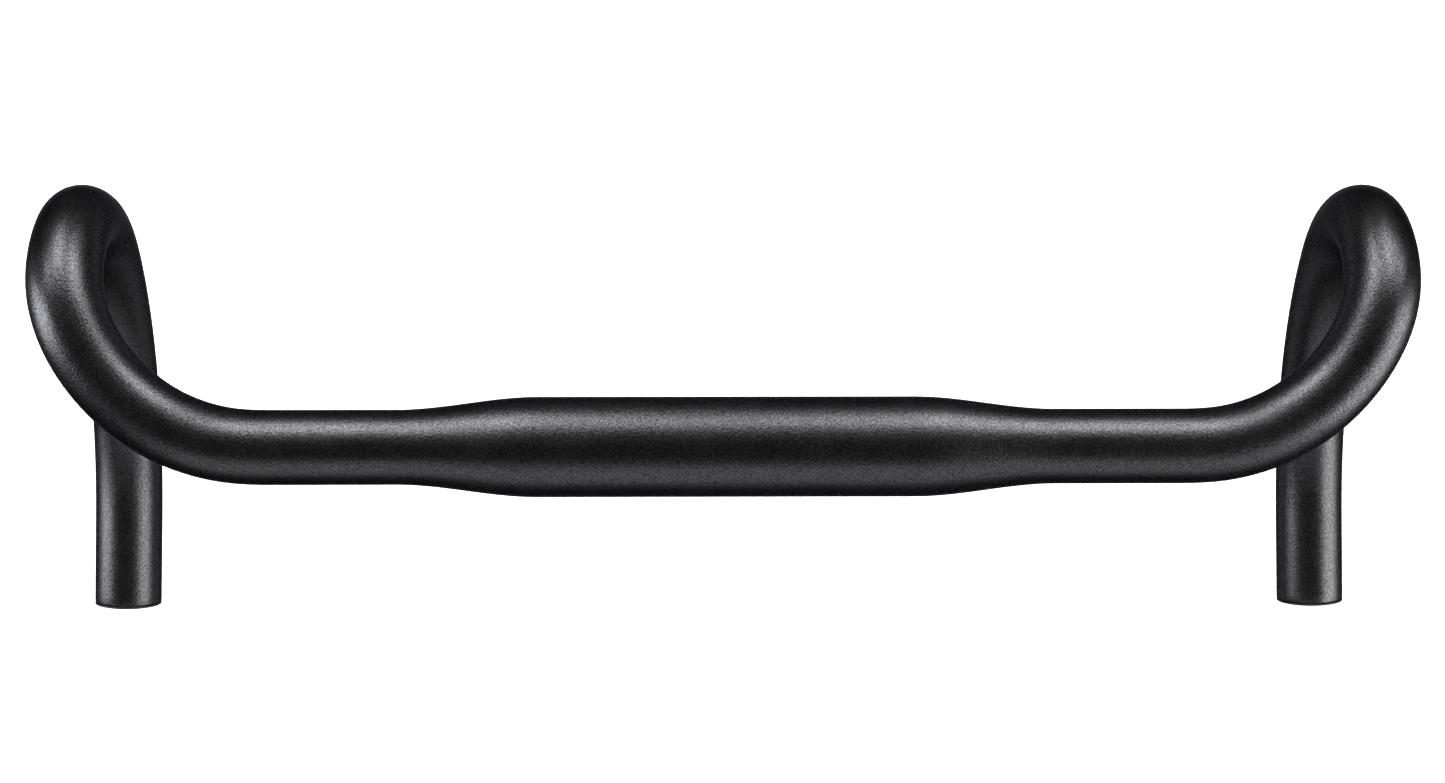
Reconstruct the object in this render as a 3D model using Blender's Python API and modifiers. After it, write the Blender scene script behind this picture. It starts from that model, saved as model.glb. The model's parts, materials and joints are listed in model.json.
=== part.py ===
"""Drop handlebar: one bent, butted tube with an expander plug in each end.

Frame, in metres: the origin is the centre of the stem clamp, +X runs to the right along the tops,
+Y is forward, away from the rider, and +Z is up. Lengths below are in millimetres.
"""

import math

import bmesh
import bpy
from mathutils import Matrix, Vector

MM = 0.001
NAME = "drop_handlebar"
GAP = 0.3

# The tube's section.
TUBE_D = 23.8
CLAMP_D = 31.8
CLAMP_HALF = 60.0
TAPER_END = 104.0
WALL = 1.5
WALL_CLAMP = 2.2
TUBE_BEVEL = 10

# The tube's bends, measured along its centreline from the middle of the clamp.
SWEEP_START = 148.5
SWEEP_R = 61.0
SWEEP_DEG = 87.0
RAMP_DEG = 4.0
HOOK_LEAD = 24.0
HOOK = ((37.5, 86.0), (52.0, 43.5), (130.0, 48.0))
END_STRAIGHT = 33.0
FLARE_DEG = 0.9
EASE = 12.0
STEP = 1.0
TURN_PER_STATION = 7.5

# The plugs, measured outwards from the tube's end face along its axis.
SEGMENTS = 24
FLANGE_T = 0.7
FLANGE_CHAMFER = 0.2
SPIGOT_R = 10.0
SPIGOT_END = -6.0
CLEAR_R = 2.35
COUNTERBORE_R = 3.9
COUNTERBORE_FLOOR = -3.9
HEAD_R = 3.5
HEAD_H = 4.0
SCREW_R = 2.0
SCREW_L = 30.0
SOCKET_AF = 3.0
SOCKET_DEPTH = 2.2
SLEEVE_R = 10.0
SLEEVE_END = -24.0
SLEEVE_BORE_R = 2.6
CONE_START = -11.0
CONE_R0 = 4.5
CONE_R1 = 8.0
SLOT_W = 1.4
SLOT_START = -9.0
WEDGE_TOP = -14.0
WEDGE_EDGE = -26.0
WEDGE_END = -30.0
NUT_AF = 7.0
NUT_H = 3.2

MATERIALS = {
    "anodised_aluminium": ((0.012, 0.012, 0.013), 1.0, 0.42),
    "glass_filled_nylon": ((0.02, 0.02, 0.022), 0.0, 0.5),
    "blackened_steel": ((0.035, 0.035, 0.038), 1.0, 0.38),
    "rubber": ((0.018, 0.018, 0.018), 0.0, 0.8),
    "zinc_plated_steel": ((0.55, 0.55, 0.53), 1.0, 0.3),
}


def eased(s, start, end):
    """The share of a bend that is done at s, with a lead-in and a lead-out."""
    shares = [(s + k * EASE - start) / (end - start) for k in (-0.5, -0.25, 0.0, 0.25, 0.5)]
    return sum(min(max(share, 0.0), 1.0) for share in shares) / len(shares)


def heading(s):
    """The direction of the right half's centreline at s."""
    sweep_end = SWEEP_START + SWEEP_R * math.radians(SWEEP_DEG)
    start = sweep_end - HOOK_LEAD
    hook_start = start
    pitch = RAMP_DEG
    for radius, angle in HOOK:
        end = start + radius * math.radians(angle)
        pitch -= angle * eased(s, start, end)
        start = end
    yaw = SWEEP_DEG * eased(s, SWEEP_START, sweep_end) + FLARE_DEG * eased(s, hook_start, start)
    yaw, pitch = math.radians(yaw), math.radians(pitch)
    return Vector((math.cos(yaw), math.sin(yaw) * math.cos(pitch), math.sin(yaw) * math.sin(pitch)))


def half_length():
    """The length of the right half's centreline."""
    hook = sum(radius * math.radians(angle) for radius, angle in HOOK)
    return SWEEP_START + SWEEP_R * math.radians(SWEEP_DEG) - HOOK_LEAD + hook + END_STRAIGHT


def section(s):
    """The tube's outer radius and wall thickness at s."""
    share = min(max((s - CLAMP_HALF) / (TAPER_END - CLAMP_HALF), 0.0), 1.0)
    share = share * share * (3.0 - 2.0 * share)
    outer = (CLAMP_D + (TUBE_D - CLAMP_D) * share) / 2.0
    return outer, WALL_CLAMP + (WALL - WALL_CLAMP) * share


def stations():
    """The right half's centreline as (s, point), closer together where it bends or tapers."""
    steps = math.ceil((half_length() - TAPER_END) / STEP)
    step = (half_length() - TAPER_END) / steps
    spans = 6
    span = (TAPER_END - CLAMP_HALF) / spans
    found = [(CLAMP_HALF + i * span, Vector((CLAMP_HALF + i * span, 0.0, 0.0))) for i in range(spans + 1)]
    point = found[-1][1].copy()
    last = heading(TAPER_END)
    for i in range(steps):
        s = TAPER_END + i * step
        point += heading(s + step / 2.0) * step
        now = heading(s + step)
        if math.degrees(last.angle(now)) > TURN_PER_STATION:
            found.append((s + step, point.copy()))
            last = now
    if half_length() - found[-1][0] < EASE:
        found.pop()
    found.append((half_length(), point))
    return found


def mirrored(point):
    return Vector((-point.x, point.y, point.z))


def material(name):
    """The material of that name, made at its first use."""
    if name in bpy.data.materials:
        return bpy.data.materials[name]
    colour, metallic, roughness = MATERIALS[name]
    made = bpy.data.materials.new(name)
    made.use_nodes = True
    shader = made.node_tree.nodes["Principled BSDF"]
    shader.inputs["Base Color"].default_value = (*colour, 1.0)
    shader.inputs["Metallic"].default_value = metallic
    shader.inputs["Roughness"].default_value = roughness
    return made


def own_material(node, kind):
    """A copy of a material under the node's own name."""
    made = material(kind).copy()
    made.name = f"{node}_{kind}"
    return made


def collection(name):
    made = bpy.data.collections.new(name)
    bpy.context.scene.collection.children.link(made)
    return made


def swept(name, rows, home):
    """A closed round bar through rows of (point, radius), as a mesh object."""
    curve = bpy.data.curves.new(name, "CURVE")
    curve.dimensions = "3D"
    curve.twist_mode = "MINIMUM"
    curve.bevel_depth = MM
    curve.bevel_resolution = TUBE_BEVEL
    curve.use_fill_caps = True
    spline = curve.splines.new("POLY")
    spline.points.add(len(rows) - 1)
    for vertex, (point, radius) in zip(spline.points, rows):
        vertex.co = (*(point * MM), 1.0)
        vertex.radius = radius
    holder = bpy.data.objects.new(name + "_curve", curve)
    home.objects.link(holder)
    depsgraph = bpy.context.evaluated_depsgraph_get()
    mesh = bpy.data.meshes.new_from_object(holder.evaluated_get(depsgraph))
    mesh.transform(holder.matrix_world)
    bpy.data.objects.remove(holder)
    bm = bmesh.new()
    bm.from_mesh(mesh)
    bmesh.ops.remove_doubles(bm, verts=bm.verts, dist=1e-6)
    bmesh.ops.recalc_face_normals(bm, faces=bm.faces)
    bm.to_mesh(mesh)
    bm.free()
    mesh.name = name
    made = bpy.data.objects.new(name, mesh)
    home.objects.link(made)
    return made


def turned(name, profile, home, matrix):
    """A solid of revolution about local Z; the profile is (radius, height) from outer top round to inner top."""
    mesh = bpy.data.meshes.new(name)
    points = [(radius * MM, 0.0, height * MM) for radius, height in profile]
    edges = [(i, (i + 1) % len(points)) for i in range(len(points))]
    if profile[0][0] == 0.0 and profile[-1][0] == 0.0:
        edges.pop()
    mesh.from_pydata(points, edges, [])
    made = bpy.data.objects.new(name, mesh)
    made.matrix_world = matrix
    home.objects.link(made)
    screw = made.modifiers.new("turn", "SCREW")
    screw.axis = "Z"
    screw.angle = math.tau
    screw.steps = SEGMENTS
    screw.render_steps = SEGMENTS
    screw.use_merge_vertices = True
    screw.merge_threshold = 1e-5
    screw.use_smooth_shade = False
    return made


def prism(name, sides, radius, low, high, home, matrix):
    """A straight prism or cylinder about local Z between two heights."""
    mesh = bpy.data.meshes.new(name)
    bm = bmesh.new()
    bmesh.ops.create_cone(
        bm,
        cap_ends=True,
        segments=sides,
        radius1=radius * MM,
        radius2=radius * MM,
        depth=(high - low) * MM,
        matrix=Matrix.Translation((0.0, 0.0, (high + low) / 2.0 * MM)),
    )
    bm.to_mesh(mesh)
    bm.free()
    made = bpy.data.objects.new(name, mesh)
    made.matrix_world = matrix
    home.objects.link(made)
    return made


def slab(name, width, depth, low, high, home, matrix):
    """A block centred on local Z between two heights."""
    mesh = bpy.data.meshes.new(name)
    bm = bmesh.new()
    shape = Matrix.Diagonal((width * MM, depth * MM, (high - low) * MM, 1.0))
    place = Matrix.Translation((0.0, 0.0, (high + low) / 2.0 * MM))
    bmesh.ops.create_cube(bm, size=1.0, matrix=place @ shape)
    bm.to_mesh(mesh)
    bm.free()
    made = bpy.data.objects.new(name, mesh)
    made.matrix_world = matrix
    home.objects.link(made)
    return made


def cut(target, cutter):
    """Takes the cutter away from the target."""
    cutter.hide_render = True
    cutter.display_type = "WIRE"
    boolean = target.modifiers.new(cutter.name, "BOOLEAN")
    boolean.operation = "DIFFERENCE"
    boolean.solver = "EXACT"
    boolean.object = cutter


def across_corners(across_flats):
    return across_flats / 2.0 / math.cos(math.pi / 6.0)


def make_tube(parts, cutters):
    """The bent tube, bored from end to end."""
    right = stations()
    rows = [(mirrored(point), s) for s, point in reversed(right)] + [(point, s) for s, point in right]
    outer = [(point, section(s)[0]) for point, s in rows]
    bore = [(point, section(s)[0] - section(s)[1]) for point, s in rows]
    reach = heading(half_length()) * 6.0
    bore.insert(0, (bore[0][0] + mirrored(reach), bore[0][1]))
    bore.append((bore[-1][0] + reach, bore[-1][1]))
    tube = swept("handlebar_tube", outer, parts)
    tube.data.materials.append(own_material("handlebar_tube", "anodised_aluminium"))
    cut(tube, swept("cut_bore", bore, cutters))


def make_plug(side, end, direction, parts, cutters):
    """The expander plug of one end: cap, screw, split sleeve, wedge and nut on one axis."""
    axes = direction.to_track_quat("Z", "Y").to_matrix().to_4x4()
    place = Matrix.Translation(end * MM) @ axes
    face = GAP + FLANGE_T
    tube_r = TUBE_D / 2.0

    cap = turned(
        f"{side}_plug_cap",
        [
            (COUNTERBORE_R, face),
            (tube_r - FLANGE_CHAMFER, face),
            (tube_r, face - FLANGE_CHAMFER),
            (tube_r, GAP),
            (SPIGOT_R, GAP),
            (SPIGOT_R, SPIGOT_END),
            (CLEAR_R, SPIGOT_END),
            (CLEAR_R, COUNTERBORE_FLOOR),
            (COUNTERBORE_R, COUNTERBORE_FLOOR),
        ],
        parts,
        place,
    )
    cap.data.materials.append(own_material(cap.name, "glass_filled_nylon"))

    seat = COUNTERBORE_FLOOR + GAP
    screw = turned(
        f"{side}_plug_screw",
        [
            (0.0, seat + HEAD_H),
            (HEAD_R - 0.4, seat + HEAD_H),
            (HEAD_R, seat + HEAD_H - 0.4),
            (HEAD_R, seat),
            (SCREW_R, seat),
            (SCREW_R, seat - SCREW_L + 0.5),
            (SCREW_R - 0.5, seat - SCREW_L),
            (0.0, seat - SCREW_L),
        ],
        parts,
        place,
    )
    screw.data.materials.append(own_material(screw.name, "blackened_steel"))
    top = seat + HEAD_H
    cut(
        screw,
        prism(
            f"cut_{side}_socket",
            6,
            across_corners(SOCKET_AF),
            top - SOCKET_DEPTH,
            top + 1.0,
            cutters,
            place,
        ),
    )

    sleeve = turned(
        f"{side}_plug_sleeve",
        [
            (SLEEVE_BORE_R, SPIGOT_END - GAP),
            (SLEEVE_R - 0.3, SPIGOT_END - GAP),
            (SLEEVE_R, SPIGOT_END - GAP - 0.3),
            (SLEEVE_R, SLEEVE_END + 0.3),
            (SLEEVE_R - 0.3, SLEEVE_END),
            (CONE_R1, SLEEVE_END),
            (CONE_R0, CONE_START),
            (SLEEVE_BORE_R, CONE_START),
        ],
        parts,
        place,
    )
    sleeve.data.materials.append(own_material(sleeve.name, "rubber"))
    long_side = 2.0 * SLEEVE_R + 4.0
    low, high = SLEEVE_END - 1.0, SLOT_START
    cut(sleeve, slab(f"cut_{side}_slot_a", SLOT_W, long_side, low, high, cutters, place))
    cut(sleeve, slab(f"cut_{side}_slot_b", long_side, SLOT_W, low, high, cutters, place))

    slope = (CONE_R1 - CONE_R0) / (CONE_START - SLEEVE_END)
    clearance = GAP * math.hypot(1.0, slope)

    def cone_r(height):
        return CONE_R0 + slope * (CONE_START - height) - clearance

    wedge = turned(
        f"{side}_plug_wedge",
        [
            (CLEAR_R, WEDGE_TOP),
            (cone_r(WEDGE_TOP), WEDGE_TOP),
            (cone_r(WEDGE_EDGE), WEDGE_EDGE),
            (cone_r(WEDGE_EDGE), WEDGE_END),
            (CLEAR_R, WEDGE_END),
        ],
        parts,
        place,
    )
    wedge.data.materials.append(own_material(wedge.name, "glass_filled_nylon"))
    nut_top = WEDGE_END + NUT_H + 0.1
    pocket = across_corners(NUT_AF + 2.0 * GAP)
    cut(wedge, prism(f"cut_{side}_pocket", 6, pocket, WEDGE_END - 1.0, nut_top + GAP, cutters, place))

    nut = prism(
        f"{side}_plug_nut",
        6,
        across_corners(NUT_AF),
        nut_top - NUT_H,
        nut_top,
        parts,
        place,
    )
    nut.data.materials.append(own_material(nut.name, "zinc_plated_steel"))
    cut(
        nut,
        prism(
            f"cut_{side}_thread",
            SEGMENTS,
            CLEAR_R,
            nut_top - NUT_H - 1.0,
            nut_top + 1.0,
            cutters,
            place,
        ),
    )


def main():
    for item in list(bpy.data.objects):
        bpy.data.objects.remove(item)
    parts = collection(NAME)
    cutters = collection("cutters")
    make_tube(parts, cutters)
    end = stations()[-1][1]
    direction = heading(half_length())
    make_plug("right", end, direction, parts, cutters)
    make_plug("left", mirrored(end), mirrored(direction), parts, cutters)
    cutters.hide_render = True
    for kind in MATERIALS:
        if kind in bpy.data.materials:
            bpy.data.materials.remove(bpy.data.materials[kind])
    print("end", [round(v, 2) for v in end], "axis", [round(v, 5) for v in direction])


main()
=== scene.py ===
"""Drop handlebar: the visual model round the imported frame, laid out as an add-on and run as a script."""

import json
import math

import bmesh
import bpy
from bpy.props import FloatProperty, FloatVectorProperty, IntProperty, PointerProperty
from mathutils import Matrix, Vector


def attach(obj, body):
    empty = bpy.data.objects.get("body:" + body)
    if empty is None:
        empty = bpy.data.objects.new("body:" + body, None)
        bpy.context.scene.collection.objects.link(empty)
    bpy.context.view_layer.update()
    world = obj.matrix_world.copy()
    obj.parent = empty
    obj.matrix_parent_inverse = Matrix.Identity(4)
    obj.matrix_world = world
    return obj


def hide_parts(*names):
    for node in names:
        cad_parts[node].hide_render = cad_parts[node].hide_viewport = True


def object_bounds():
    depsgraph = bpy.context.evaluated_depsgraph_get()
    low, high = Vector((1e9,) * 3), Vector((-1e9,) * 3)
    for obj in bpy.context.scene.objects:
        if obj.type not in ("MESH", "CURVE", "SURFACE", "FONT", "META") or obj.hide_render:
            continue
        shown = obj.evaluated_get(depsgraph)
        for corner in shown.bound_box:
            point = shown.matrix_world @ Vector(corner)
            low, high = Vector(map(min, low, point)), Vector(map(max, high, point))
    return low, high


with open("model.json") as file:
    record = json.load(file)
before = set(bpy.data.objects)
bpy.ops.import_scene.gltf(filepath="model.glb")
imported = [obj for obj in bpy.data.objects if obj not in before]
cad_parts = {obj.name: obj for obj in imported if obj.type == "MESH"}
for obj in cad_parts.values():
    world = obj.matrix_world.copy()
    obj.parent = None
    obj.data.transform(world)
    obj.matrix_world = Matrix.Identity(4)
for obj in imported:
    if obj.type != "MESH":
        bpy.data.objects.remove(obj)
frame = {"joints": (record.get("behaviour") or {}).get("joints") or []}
CAD_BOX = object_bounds()

bl_info = {
    "name": "Drop handlebar",
    "version": (1, 0, 0),
    "blender": (4, 5, 0),
    "location": "View3D > Sidebar > Drop bar",
    "description": "Builds a bent and butted drop handlebar with an expander plug in each end",
    "category": "Object",
}

MM = 0.001
SIDES = ("right", "left")

STATION_SPACING = 2.5 * MM  # along the bar, between the tube's rings
CAP_RIBS = 30  # round the cap's face
CRUSH_RIBS = 6  # round its spigot, to hold it central
GROOVES = 6  # round the sleeve
GROOVE_START_MM = 2.0
GROOVE_PITCH_MM = 2.6
WEDGE_FINS = 4  # one in each slot of the sleeve, so that the wedge can't turn
WEDGE_BACK = -30.0 * MM  # the wedge's inner end
NUT_LIFT = 0.1 * MM  # the nut's back above it
KNURLS = 36  # round the screw's head
HEAD_CHAMFER = 0.3 * MM
TIP_CHAMFER = 0.6 * MM
THREAD_RINGS = 300  # along the shank, about seven to a turn
THREAD_CREST = 0.12  # shares of half a turn where the flank starts and ends
THREAD_ROOT = 0.8
SKIN_OUT = 0.001 * MM  # how far past and inside the radius still counts as the shank's surface
SKIN_IN = 0.05 * MM
EASE_SAMPLES = (-0.5, -0.25, 0.0, 0.25, 0.5)
JOINTS = {joint["name"]: joint for joint in frame["joints"]}


def linear(code):
    """An sRGB hex colour as linear red, green and blue."""
    parts = [int(code[i : i + 2], 16) / 255.0 for i in (0, 2, 4)]
    return tuple(v / 12.92 if v <= 0.04045 else ((v + 0.055) / 1.055) ** 2.4 for v in parts)


def length(name, description, default, soft_max=1.0):
    """A length property in metres."""
    return FloatProperty(
        name=name,
        description=description,
        default=default,
        min=0.0,
        soft_max=soft_max,
        precision=5,
        unit="LENGTH",
        subtype="DISTANCE",
    )


def angle(name, description, degrees):
    """An angle property, given in degrees and kept in radians."""
    return FloatProperty(
        name=name,
        description=description,
        default=math.radians(degrees),
        unit="ROTATION",
        subtype="ANGLE",
    )


def colour(name, description, code):
    """A colour property from an sRGB hex value."""
    return FloatVectorProperty(
        name=name,
        description=description,
        default=linear(code),
        min=0.0,
        max=1.0,
        size=3,
        subtype="COLOR",
    )


class TubeSizes(bpy.types.PropertyGroup):
    """Section and bends of the tube."""

    tube_diameter: length("Tube diameter", "Outside of the straight and bent tube", 0.0238)
    clamp_diameter: length("Clamp diameter", "Outside of the swollen middle", 0.0318)
    clamp_half: length("Clamp half length", "Middle to the start of the taper", 0.060)
    taper_end: length("Taper end", "Middle to the end of the taper", 0.104)
    wall: length("Wall", "Wall of the tube", 0.0015)
    clamp_wall: length("Clamp wall", "Wall of the swollen middle", 0.0022)
    edge_radius: length("Edge radius", "Rounding of the deburred ends", 0.00035)
    sweep_start: length("Sweep start", "Middle to the start of the forward bend", 0.1485)
    sweep_radius: length("Sweep radius", "Centreline radius of the forward bend", 0.061)
    sweep_angle: angle("Sweep angle", "Turn of the forward bend", 87.0)
    ramp_angle: angle("Ramp angle", "Rise of the ramps", 4.0)
    hook_lead: length("Hook lead", "How far the hook starts before the forward bend ends", 0.024)
    hook_radii: FloatVectorProperty(
        name="Hook radii",
        description="Centreline radii of the hook, from the ramp down",
        default=(0.0375, 0.052, 0.130),
        size=3,
        precision=4,
        unit="LENGTH",
    )
    hook_angles: FloatVectorProperty(
        name="Hook angles",
        description="Turn on each of the hook's radii",
        default=tuple(math.radians(v) for v in (86.0, 43.5, 48.0)),
        size=3,
        unit="ROTATION",
    )
    flare: angle("Flare", "Outward turn from the ramps to the ends", 0.9)
    end_straight: length("End straight", "Straight length at each end", 0.033)
    ease: length("Bend ease", "Length over which a bend starts and stops", 0.012)
    sides: IntProperty(name="Sides", description="Faces round the tube", default=96, min=12)


class PlugSizes(bpy.types.PropertyGroup):
    """Sizes of the expander plugs, along the tube's axis from its end face."""

    gap: length("Gap", "Gap between touching pieces", 0.0003)
    flange: length("Flange", "Thickness of the cap's rim", 0.0007)
    spigot_diameter: length("Spigot diameter", "Part of the cap inside the bore", 0.020)
    spigot_length: length("Spigot length", "Depth of the cap in the bore", 0.006)
    hole_diameter: length("Screw hole", "Clearance hole for the screw", 0.0047)
    head_hole_diameter: length("Head hole", "Counterbore for the screw head", 0.0078)
    head_hole_depth: length("Head hole depth", "Tube end to the counterbore's floor", 0.0039)
    head_diameter: length("Head diameter", "Screw head", 0.007)
    head_height: length("Head height", "Screw head", 0.004)
    screw_diameter: length("Thread diameter", "Outside of the screw's thread", 0.004)
    screw_length: length("Screw length", "Under the head", 0.030)
    pitch: length("Thread pitch", "Advance of the thread for one turn", 0.0007)
    sleeve_length: length("Sleeve length", "Tube end to the sleeve's inner end", 0.024)
    nut_width: length("Nut width", "Across the nut's flats", 0.007)
    nut_height: length("Nut height", "Thickness of the nut", 0.0032)


class Finishes(bpy.types.PropertyGroup):
    """Colours of the pieces and the stage."""

    anodise: colour("Anodising", "Dyed oxide layer on the tube", "4B4B4D")
    nylon: colour("Nylon", "Caps and wedges", "1B1B1D")
    rubber: colour("Rubber", "Sleeves", "161616")
    oxide: colour("Black oxide", "Screws", "2E2F31")
    zinc: colour("Zinc plating", "Nuts", "B9BCC0")
    board: colour("Board", "Floor and backdrop", "FFFFFF")


class StageSizes(bpy.types.PropertyGroup):
    """Camera, lights and floor."""

    camera_height: length("Camera height", "Camera above the tops", 0.7329, 5.0)
    camera_x: FloatProperty(
        name="Camera across", description="Camera to the right of the middle", default=-0.01175, unit="LENGTH"
    )
    camera_y: FloatProperty(
        name="Camera forward", description="Camera ahead of the tops", default=0.01748, unit="LENGTH"
    )
    camera_roll: angle("Camera tilt", "Tilt about the forward axis", -0.826)
    camera_yaw: angle("Camera turn", "Turn about the vertical", -0.084)
    lens: FloatProperty(name="Lens", description="Focal length on a 36 mm sensor, in mm", default=57.70)
    floor_drop: length("Floor drop", "Bar to floor, enough to clear a plug drawn right out", 0.008)
    floor_radius: length("Floor radius", "Middle to the backdrop's wall", 3.0, 10.0)


# Nodes ------------------------------------------------------------------------------------------------


def add_node(tree, kind, inputs=None, **settings):
    """Adds a node: settings are its own values, inputs its sockets' links or plain values."""
    made = tree.nodes.new(kind)
    for name, value in settings.items():
        setattr(made, name, value)
    for key, value in (inputs or {}).items():
        if isinstance(value, bpy.types.NodeSocket):
            tree.links.new(value, made.inputs[key])
        else:
            made.inputs[key].default_value = value
    return made


def new_group(name, sockets):
    """An empty geometry group with a geometry input and output and the named inputs."""
    group = bpy.data.node_groups.new(name, "GeometryNodeTree")
    face = group.interface
    face.new_socket("Geometry", in_out="INPUT", socket_type="NodeSocketGeometry")
    for label, kind in sockets:
        face.new_socket(label, in_out="INPUT", socket_type=kind)
    face.new_socket("Geometry", in_out="OUTPUT", socket_type="NodeSocketGeometry")
    return group


def close_group(group, source, given):
    """Ends a group in plain geometry with its material."""
    real = add_node(group, "GeometryNodeRealizeInstances", {"Geometry": source})
    smooth = add_node(group, "GeometryNodeSetShadeSmooth", {"Geometry": real.outputs[0]})
    dressed = add_node(
        group, "GeometryNodeSetMaterial", {"Geometry": smooth.outputs[0], "Material": given["Material"]}
    )
    add_node(group, "NodeGroupOutput", {0: dressed.outputs[0]})


def run_group(obj, group, values):
    """Puts a geometry group on an object, sets its inputs and returns the resulting plain mesh."""
    modifier = obj.modifiers.new(group.name, "NODES")
    modifier.node_group = group
    for item in group.interface.items_tree:
        if item.in_out == "INPUT" and item.name in values:
            modifier[item.identifier] = values[item.name]
    return flatten(obj)


def flatten(obj):
    """The evaluated mesh of an object, whose modifiers are then taken off."""
    bpy.context.view_layer.update()
    depsgraph = bpy.context.evaluated_depsgraph_get()
    mesh = bpy.data.meshes.new_from_object(obj.evaluated_get(depsgraph))
    obj.modifiers.clear()
    return mesh


# Materials --------------------------------------------------------------------------------------------


def surface(name):
    """A new material with its tree, Principled shader and object coordinates."""
    made = bpy.data.materials.new(name)
    made.use_nodes = True
    tree = made.node_tree
    shader = tree.nodes["Principled BSDF"]
    place = add_node(tree, "ShaderNodeTexCoord").outputs["Object"]
    return made, tree, shader, place


def once(name, make):
    """A material made at its first use and shared after that."""
    return bpy.data.materials.get(name) or make(name)


def anodised_aluminium(name):
    """Aluminium bent, bead-blasted and anodised black.

    The beads leave shallow dimples, so highlights are broad and break into light and dark grains, and
    the dyed oxide layer keeps the rest near black. The grains are drawn 0.6 mm across.
    """
    tone = bpy.context.scene.dropbar_finishes.anodise
    made, tree, shader, place = surface(name)
    grain = add_node(
        tree, "ShaderNodeTexNoise", {"Vector": place, "Scale": 1.0 / (0.6 * MM), "Detail": 1.0}
    )
    patch = add_node(
        tree, "ShaderNodeTexNoise", {"Vector": place, "Scale": 1.0 / (9.0 * MM), "Detail": 3.0}
    )
    share = add_node(
        tree, "ShaderNodeMapRange", {"Value": grain.outputs["Fac"], "From Min": 0.3, "From Max": 0.7}
    )
    tint = add_node(
        tree,
        "ShaderNodeMix",
        {
            "Factor": share.outputs[0],
            6: (*[v * 0.5 for v in tone], 1.0),
            7: (*[v * 1.5 for v in tone], 1.0),
        },
        data_type="RGBA",
    )
    rough = add_node(
        tree,
        "ShaderNodeMapRange",
        {"Value": patch.outputs["Fac"], "From Min": 0.3, "From Max": 0.7, "To Min": 0.33, "To Max": 0.37},
    )
    bump = add_node(
        tree,
        "ShaderNodeBump",
        {"Height": grain.outputs["Fac"], "Strength": 1.0, "Distance": 0.08 * MM},
    )
    tree.links.new(tint.outputs[2], shader.inputs["Base Color"])
    tree.links.new(rough.outputs[0], shader.inputs["Roughness"])
    tree.links.new(bump.outputs[0], shader.inputs["Normal"])
    shader.inputs["Metallic"].default_value = 1.0
    shader.inputs["Specular Tint"].default_value = (0.25, 0.25, 0.26, 1.0)
    return made


def moulded_plastic(name, tone, grain_mm, roughness, depth_mm):
    """A moulded material with a fine spark-eroded texture and slightly uneven colour."""
    made, tree, shader, place = surface(name)
    grain = add_node(
        tree, "ShaderNodeTexNoise", {"Vector": place, "Scale": 1.0 / (grain_mm * MM), "Detail": 3.0}
    )
    cloud = add_node(tree, "ShaderNodeTexNoise", {"Vector": place, "Scale": 1.0 / (4.0 * MM)})
    tint = add_node(
        tree,
        "ShaderNodeMix",
        {
            "Factor": cloud.outputs["Fac"],
            6: (*[v * 0.8 for v in tone], 1.0),
            7: (*[v * 1.25 for v in tone], 1.0),
        },
        data_type="RGBA",
    )
    rough = add_node(
        tree,
        "ShaderNodeMapRange",
        {"Value": grain.outputs["Fac"], "To Min": roughness - 0.08, "To Max": roughness + 0.08},
    )
    bump = add_node(
        tree,
        "ShaderNodeBump",
        {"Height": grain.outputs["Fac"], "Strength": 0.5, "Distance": depth_mm * MM},
    )
    tree.links.new(tint.outputs[2], shader.inputs["Base Color"])
    tree.links.new(rough.outputs[0], shader.inputs["Roughness"])
    tree.links.new(bump.outputs[0], shader.inputs["Normal"])
    return made


def glass_filled_nylon(name):
    """Nylon with short glass fibre, injection moulded: matt black with a fine texture."""
    return moulded_plastic(name, bpy.context.scene.dropbar_finishes.nylon, 0.3, 0.5, 0.02)


def moulded_rubber(name):
    """Rubber, compression moulded: dull, soft black that hardly shines."""
    return moulded_plastic(name, bpy.context.scene.dropbar_finishes.rubber, 0.5, 0.75, 0.03)


def plated_steel(name, tone, roughness):
    """Cold-formed and plated steel, with fine marks left by the tumbling drum."""
    made, tree, shader, place = surface(name)
    marks = add_node(
        tree, "ShaderNodeTexNoise", {"Vector": place, "Scale": 1.0 / (0.4 * MM), "Detail": 4.0}
    )
    rough = add_node(
        tree,
        "ShaderNodeMapRange",
        {"Value": marks.outputs["Fac"], "To Min": roughness - 0.1, "To Max": roughness + 0.12},
    )
    bump = add_node(
        tree, "ShaderNodeBump", {"Height": marks.outputs["Fac"], "Strength": 0.3, "Distance": 0.01 * MM}
    )
    shader.inputs["Base Color"].default_value = (*tone, 1.0)
    shader.inputs["Metallic"].default_value = 1.0
    tree.links.new(rough.outputs[0], shader.inputs["Roughness"])
    tree.links.new(bump.outputs[0], shader.inputs["Normal"])
    return made


def black_oxide_steel(name):
    """Alloy steel, blackened in hot salt: dark grey with an oily sheen."""
    return plated_steel(name, bpy.context.scene.dropbar_finishes.oxide, 0.34)


def zinc_plated_steel(name):
    """Mild steel with a clear-passivated zinc plate: bright, slightly blue."""
    return plated_steel(name, bpy.context.scene.dropbar_finishes.zinc, 0.3)


def painted_board(name):
    """Board painted white, lit from behind so that it stays even."""
    made, _, shader, _ = surface(name)
    tone = bpy.context.scene.dropbar_finishes.board
    shader.inputs["Base Color"].default_value = (*tone, 1.0)
    shader.inputs["Roughness"].default_value = 0.9
    shader.inputs["Specular IOR Level"].default_value = 0.0
    shader.inputs["Emission Color"].default_value = (*tone, 1.0)
    shader.inputs["Emission Strength"].default_value = 1.0
    return made


# Shapes -----------------------------------------------------------------------------------------------


def eased(s, start, end, ease):
    """The share of a bend that is done at s, with a lead-in and a lead-out."""
    shares = [(s + k * ease - start) / (end - start) for k in EASE_SAMPLES]
    return sum(min(max(share, 0.0), 1.0) for share in shares) / len(shares)


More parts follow.
